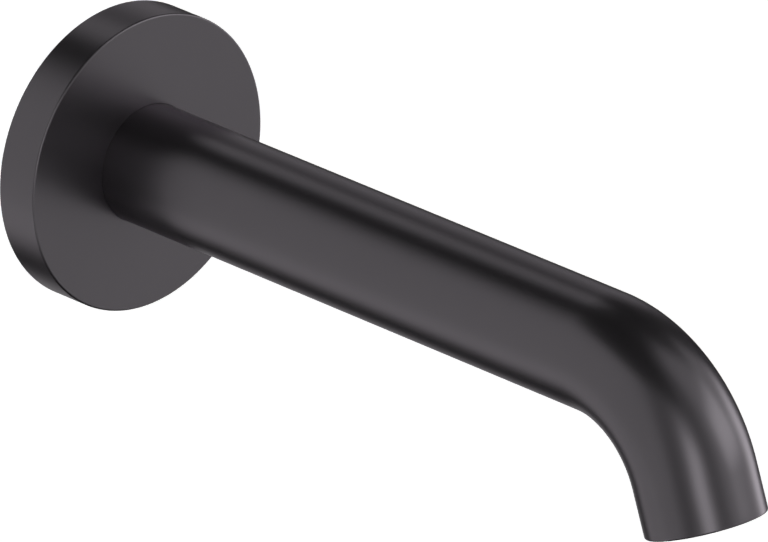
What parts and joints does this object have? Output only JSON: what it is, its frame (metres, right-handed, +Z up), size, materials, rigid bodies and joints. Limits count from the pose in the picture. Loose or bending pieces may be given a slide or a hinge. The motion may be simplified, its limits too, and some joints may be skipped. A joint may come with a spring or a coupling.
{
  "type": "bath spout",
  "caption": "Wall-mounted bath spout: round tube turned down at its end, flat round cover plate at the wall, clamped connection nipple and screw-in aerator.",
  "frame": {"origin": "centre of the wall plane, on the axis of the spout's level run", "axes": "+Y into the wall along the nipple's thread, +Z up, the spout points along -Y"},
  "size_m": [0.0702, 0.2195, 0.0707],
  "materials": {
    "dark_satin_metal": "satin",
    "bare_brass": "satin",
    "stainless_steel": "satin",
    "rubber": "matte",
    "cellular_rubber": "matte",
    "grey_plastic": "satin",
    "white_plastic": "satin"
  },
  "bodies": {
    "root": {"spout_body": "dark_satin_metal", "escutcheon": "dark_satin_metal", "escutcheon_grip_ring": "rubber", "wall_seal": "cellular_rubber", "connection_nipple": "bare_brass", "rear_seal_ring": "rubber", "front_seal_ring": "rubber", "clamp_screw": "stainless_steel", "aerator_shell": "dark_satin_metal", "aerator_outlet_grid": "grey_plastic", "aerator_screen": "stainless_steel", "aerator_jet_plate": "white_plastic", "aerator_filter": "white_plastic", "aerator_washer": "rubber"}
  },
  "joints": []
}
